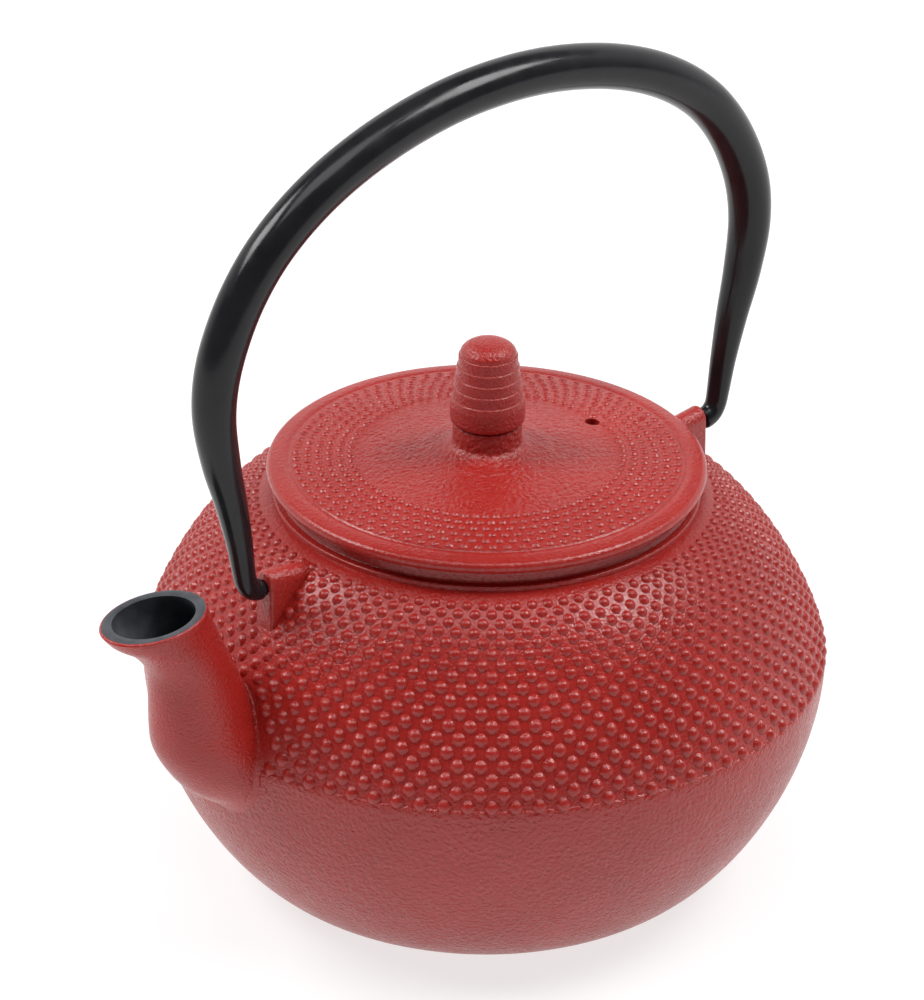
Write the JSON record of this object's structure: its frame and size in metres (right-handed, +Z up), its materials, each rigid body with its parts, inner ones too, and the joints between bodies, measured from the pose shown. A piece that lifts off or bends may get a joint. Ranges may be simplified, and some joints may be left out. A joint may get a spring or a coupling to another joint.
{
  "type": "cast iron teapot",
  "caption": "Round hobnail cast-iron teapot with a short spout, hinged bail handle, lift-off lid with turned knob and a basket infuser.",
  "frame": {"origin": "centre of the flat base, on the plane that it stands on", "axes": "+Z up along the axis of the pot, +X towards the spout; the handle stands in the XZ plane and swings about X"},
  "size_m": [0.2107, 0.17, 0.2181],
  "materials": {
    "red_enamel": "satin red enamel over cast iron, orange-peel and hobnail texture",
    "black_enamel": "black satin-gloss enamel",
    "stainless_steel": "plain stainless steel sheet and mesh"
  },
  "bodies": {
    "pot": {"pot_lower": "red_enamel", "pot_upper": "red_enamel", "spout": "red_enamel"},
    "handle": {"bail_handle": "black_enamel"},
    "infuser": {"infuser_rim": "stainless_steel", "infuser_wall": "stainless_steel", "infuser_band": "stainless_steel", "infuser_floor": "stainless_steel"},
    "lid": {"lid": "red_enamel", "lid_knob": "red_enamel", "knob_screw": "stainless_steel", "knob_washer": "stainless_steel"}
  },
  "joints": [
    {"name": "handle_hinge", "type": "hinge", "parent": "pot", "child": "handle", "pos_m": [0, 0, 0.0986], "axis": [1, 0, 0], "range_deg": [-125, 125]},
    {"name": "infuser_lift", "type": "slide", "parent": "pot", "child": "infuser", "axis": [0, 0, 1], "range_m": [0, 0.06]},
    {"name": "lid_lift", "type": "slide", "parent": "infuser", "child": "lid", "axis": [0, 0, 1], "range_m": [0, 0.06]}
  ]
}
